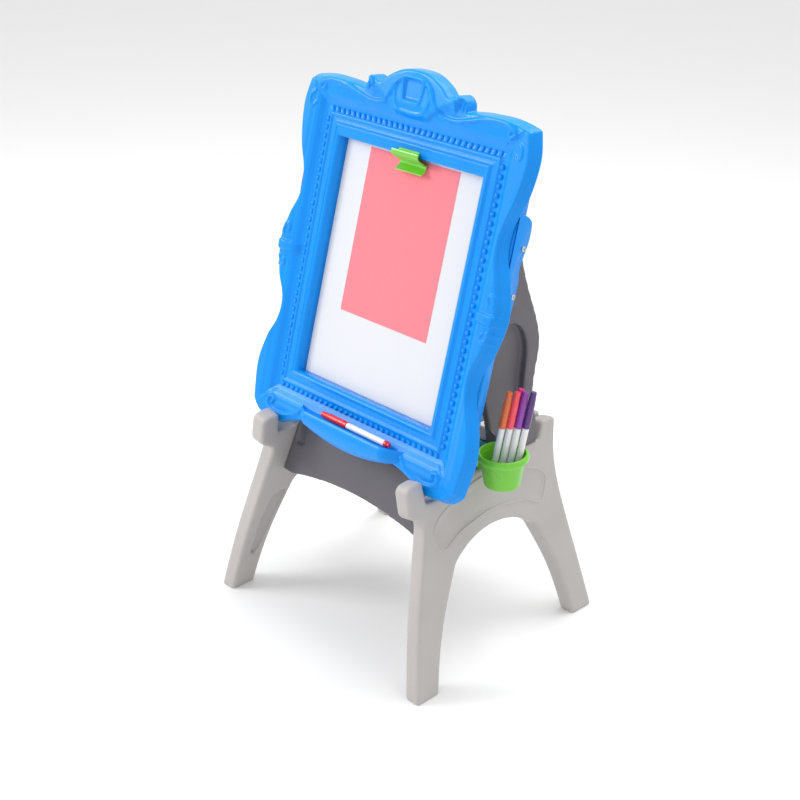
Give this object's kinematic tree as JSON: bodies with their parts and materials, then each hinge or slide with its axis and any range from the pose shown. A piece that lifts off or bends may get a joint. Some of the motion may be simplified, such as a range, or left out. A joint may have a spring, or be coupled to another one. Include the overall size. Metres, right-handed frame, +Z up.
{
  "type": "children's easel",
  "caption": "Toddler's floor easel: ornate blue frame round a leaning drawing board, on splayed grey side panels with storage tray, lift-off cups, markers and paint.",
  "frame": {"origin": "on the floor, midway between the side panels and midway between the front and rear feet", "axes": "+Z up, +X to the easel's own left-to-right as seen from the front, -Y towards the child"},
  "size_m": [0.596, 0.4593, 0.9992],
  "materials": {
    "blue_frame": "gloss",
    "light_grey": "satin",
    "dark_grey": "satin",
    "lime": "gloss",
    "board_white": "gloss",
    "backing_board": "matte",
    "screw_steel": "satin",
    "paper_pink": "matte",
    "marker_white": "gloss",
    "bottle_teal": "gloss",
    "bottle_white": "gloss",
    "cap_white": "gloss",
    "cap_navy": "gloss",
    "cap_orange": "gloss",
    "cap_coral": "gloss",
    "cap_violet": "gloss",
    "cap_plum": "gloss",
    "cap_magenta": "gloss",
    "cap_red": "gloss"
  },
  "bodies": {
    "easel": {"picture_frame": "blue_frame", "marker_ledge": "blue_frame", "drawing_board": "board_white", "board_backing": "backing_board", "backing_screws": "screw_steel", "frame_screws": "screw_steel", "right_upright": "dark_grey", "left_upright": "dark_grey", "right_side_panel": "light_grey", "left_side_panel": "light_grey", "front_apron": "dark_grey", "rear_panel": "light_grey", "storage_tray": "dark_grey", "tray_screws": "screw_steel", "clip_base": "lime", "clip_pin": "screw_steel", "clip_spring": "screw_steel"},
    "clip_jaw": {"clip_jaw": "lime"},
    "left_cup": {"left_cup": "lime"},
    "right_cup": {"right_cup": "lime"},
    "paper": {"paper_sheet": "paper_pink"},
    "orange_marker": {"orange_marker": "marker_white"},
    "orange_marker_cap": {"orange_marker_cap": "cap_orange"},
    "coral_marker": {"coral_marker": "marker_white"},
    "coral_marker_cap": {"coral_marker_cap": "cap_coral"},
    "violet_marker": {"violet_marker": "marker_white"},
    "violet_marker_cap": {"violet_marker_cap": "cap_violet"},
    "plum_marker": {"plum_marker": "marker_white"},
    "plum_marker_cap": {"plum_marker_cap": "cap_plum"},
    "magenta_marker": {"magenta_marker": "marker_white"},
    "magenta_marker_cap": {"magenta_marker_cap": "cap_magenta"},
    "red_marker": {"red_marker": "marker_white"},
    "red_marker_cap": {"red_marker_cap": "cap_red"},
    "teal_paint_bottle": {"teal_paint_bottle": "bottle_teal"},
    "teal_bottle_cap": {"teal_bottle_cap": "cap_white"},
    "navy_paint_bottle": {"navy_paint_bottle": "bottle_white"},
    "navy_bottle_cap": {"navy_bottle_cap": "cap_navy"}
  },
  "joints": [
    {"name": "clip_hinge", "type": "hinge", "parent": "easel", "child": "clip_jaw", "pos_m": [0.004, -0.00029, 0.86388], "axis": [-1, 0, 0], "range_deg": [0, 24], "stiffness_Nm_per_rad": 0.05, "springref_deg": -17.19},
    {"name": "left_cup_lift", "type": "slide", "parent": "easel", "child": "left_cup", "axis": [0, 0, 1], "range_m": [0, 0.03]},
    {"name": "right_cup_lift", "type": "slide", "parent": "easel", "child": "right_cup", "axis": [0, 0, 1], "range_m": [0, 0.03]},
    {"name": "paper_slide", "type": "slide", "parent": "easel", "child": "paper", "axis": [0, -0.2689, -0.9632], "range_m": [0, 0.12]},
    {"name": "orange_marker_lift", "type": "slide", "parent": "right_cup", "child": "orange_marker", "axis": [0.1146, 0.1187, 0.9863], "range_m": [0, 0.15]},
    {"name": "orange_cap_pull", "type": "slide", "parent": "orange_marker", "child": "orange_marker_cap", "axis": [0.1146, 0.1187, 0.9863], "range_m": [0, 0.06]},
    {"name": "coral_marker_lift", "type": "slide", "parent": "right_cup", "child": "coral_marker", "axis": [0.1146, 0.1187, 0.9863], "range_m": [0, 0.15]},
    {"name": "coral_cap_pull", "type": "slide", "parent": "coral_marker", "child": "coral_marker_cap", "axis": [0.1146, 0.1187, 0.9863], "range_m": [0, 0.06]},
    {"name": "violet_marker_lift", "type": "slide", "parent": "right_cup", "child": "violet_marker", "axis": [0.1146, 0.1187, 0.9863], "range_m": [0, 0.15]},
    {"name": "violet_cap_pull", "type": "slide", "parent": "violet_marker", "child": "violet_marker_cap", "axis": [0.1146, 0.1187, 0.9863], "range_m": [0, 0.06]},
    {"name": "plum_marker_lift", "type": "slide", "parent": "right_cup", "child": "plum_marker", "axis": [0.1146, 0.1187, 0.9863], "range_m": [0, 0.15]},
    {"name": "plum_cap_pull", "type": "slide", "parent": "plum_marker", "child": "plum_marker_cap", "axis": [0.1146, 0.1187, 0.9863], "range_m": [0, 0.06]},
    {"name": "magenta_marker_lift", "type": "slide", "parent": "right_cup", "child": "magenta_marker", "axis": [0.1146, 0.1187, 0.9863], "range_m": [0, 0.15]},
    {"name": "magenta_cap_pull", "type": "slide", "parent": "magenta_marker", "child": "magenta_marker_cap", "axis": [0.1146, 0.1187, 0.9863], "range_m": [0, 0.06]},
    {"name": "red_marker_lift", "type": "slide", "parent": "easel", "child": "red_marker", "axis": [0, 0, 1], "range_m": [0, 0.1]},
    {"name": "red_cap_pull", "type": "slide", "parent": "red_marker", "child": "red_marker_cap", "axis": [-1, 0, 0], "range_m": [0, 0.06]},
    {"name": "teal_bottle_lift", "type": "slide", "parent": "easel", "child": "teal_paint_bottle", "axis": [0, 0, 1], "range_m": [0, 0.1]},
    {"name": "teal_cap_turn", "type": "hinge", "parent": "teal_paint_bottle", "child": "teal_bottle_cap", "pos_m": [0.146, 0.06, 0.39], "axis": [0, 0, 1], "range_deg": [0, 360]},
    {"name": "navy_bottle_lift", "type": "slide", "parent": "easel", "child": "navy_paint_bottle", "axis": [0, 0, 1], "range_m": [0, 0.1]},
    {"name": "navy_cap_turn", "type": "hinge", "parent": "navy_paint_bottle", "child": "navy_bottle_cap", "pos_m": [0.068, 0.118, 0.39], "axis": [0, 0, 1], "range_deg": [0, 360]}
  ]
}
